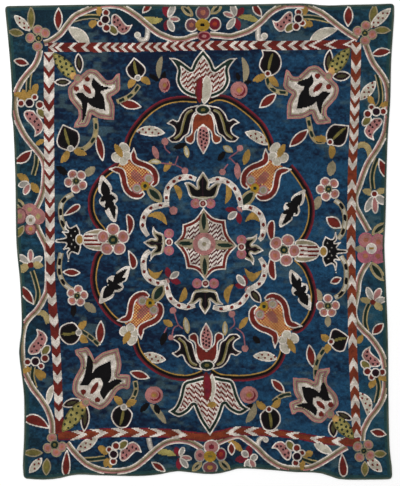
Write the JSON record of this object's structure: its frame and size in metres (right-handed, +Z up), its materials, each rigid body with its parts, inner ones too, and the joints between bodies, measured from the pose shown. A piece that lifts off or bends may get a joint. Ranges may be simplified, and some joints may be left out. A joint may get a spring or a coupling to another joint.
{
  "type": "rug",
  "caption": "Flat rectangular wool pile rug with slightly wavy drawn-in sides and a narrow turned hem, worked with a floral medallion, corner flowers and a vine border.",
  "frame": {"origin": "middle of the rug's bounding rectangle, on the flat underside", "axes": "+Z up out of the pile, +Y along the length towards the head end, +X across the width to the right"},
  "size_m": [1.8318, 2.242, 0.0091],
  "materials": {
    "wool_pile": "matt looped wool yarn, mottled navy and mid blue with coloured motifs"
  },
  "bodies": {
    "root": {"rug": "wool_pile"}
  },
  "joints": []
}
